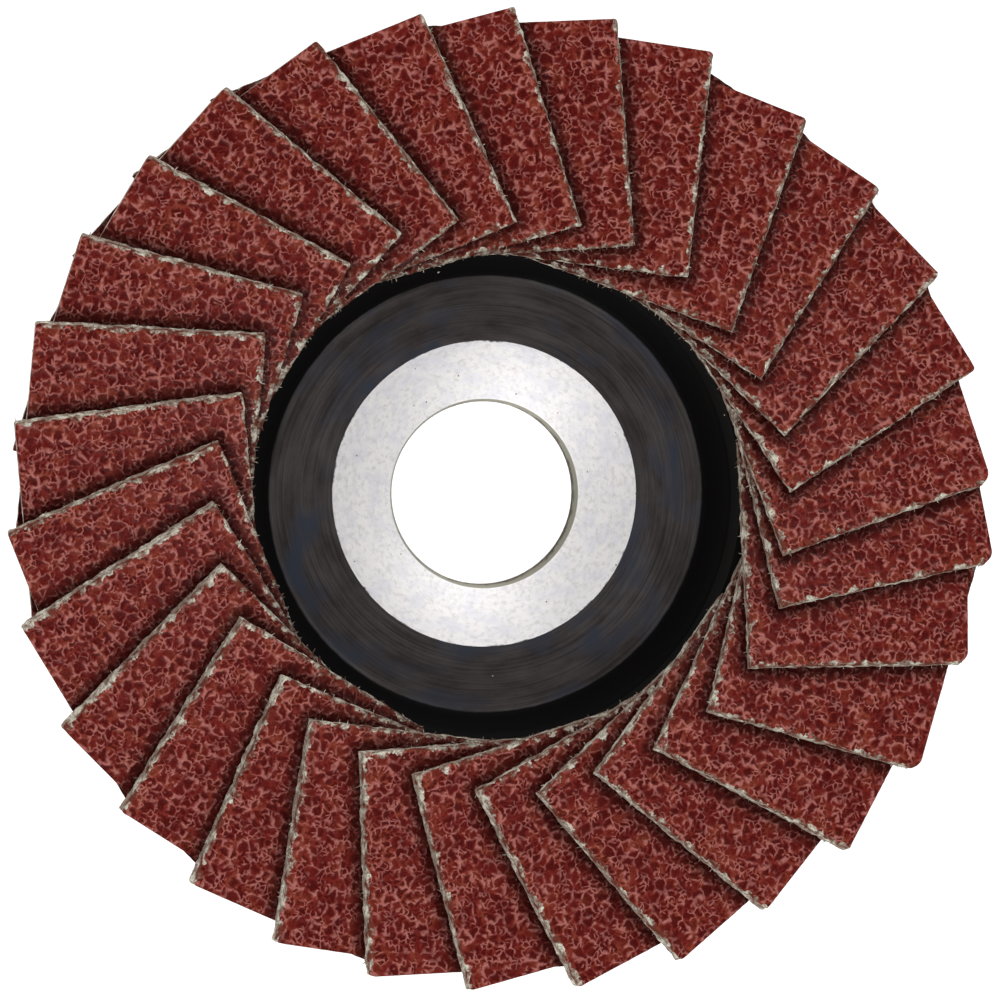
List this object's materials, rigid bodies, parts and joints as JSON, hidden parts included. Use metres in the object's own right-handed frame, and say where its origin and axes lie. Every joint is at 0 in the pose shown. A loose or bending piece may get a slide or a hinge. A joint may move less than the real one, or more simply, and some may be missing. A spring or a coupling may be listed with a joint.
{
  "type": "flap disc",
  "caption": "Small flap disc: abrasive-cloth flaps overlapping round a dished plastic backing plate, with a steel bush in its bore.",
  "frame": {"origin": "centre of the bore, in the plane of the disc's back face", "axes": "+Z along the bore axis, from the back towards the working side; the first flap's even place is 15 degrees anticlockwise from +Y"},
  "size_m": [0.0534, 0.0528, 0.0094],
  "materials": {
    "bush_steel": "turned, satin, with small pits",
    "plate_plastic": "moulded black glass-filled plastic, turned on the face",
    "epoxy": "cured black epoxy, glossy",
    "abrasive_cloth": "red-brown resin over coarse grain, on grey-beige cotton cloth"
  },
  "bodies": {
    "root": {"bore_ring": "bush_steel", "backing_plate": "plate_plastic", "adhesive_bed": "epoxy", "flap_01": "abrasive_cloth", "flap_02": "abrasive_cloth", "flap_03": "abrasive_cloth", "flap_04": "abrasive_cloth", "flap_05": "abrasive_cloth", "flap_06": "abrasive_cloth", "flap_07": "abrasive_cloth", "flap_08": "abrasive_cloth", "flap_09": "abrasive_cloth", "flap_10": "abrasive_cloth", "flap_11": "abrasive_cloth", "flap_12": "abrasive_cloth", "flap_13": "abrasive_cloth", "flap_14": "abrasive_cloth", "flap_15": "abrasive_cloth", "flap_16": "abrasive_cloth", "flap_17": "abrasive_cloth", "flap_18": "abrasive_cloth", "flap_19": "abrasive_cloth", "flap_20": "abrasive_cloth", "flap_21": "abrasive_cloth", "flap_22": "abrasive_cloth", "flap_23": "abrasive_cloth", "flap_24": "abrasive_cloth", "flap_25": "abrasive_cloth", "flap_26": "abrasive_cloth", "flap_27": "abrasive_cloth", "flap_28": "abrasive_cloth", "flap_29": "abrasive_cloth", "flap_30": "abrasive_cloth"}
  },
  "joints": []
}
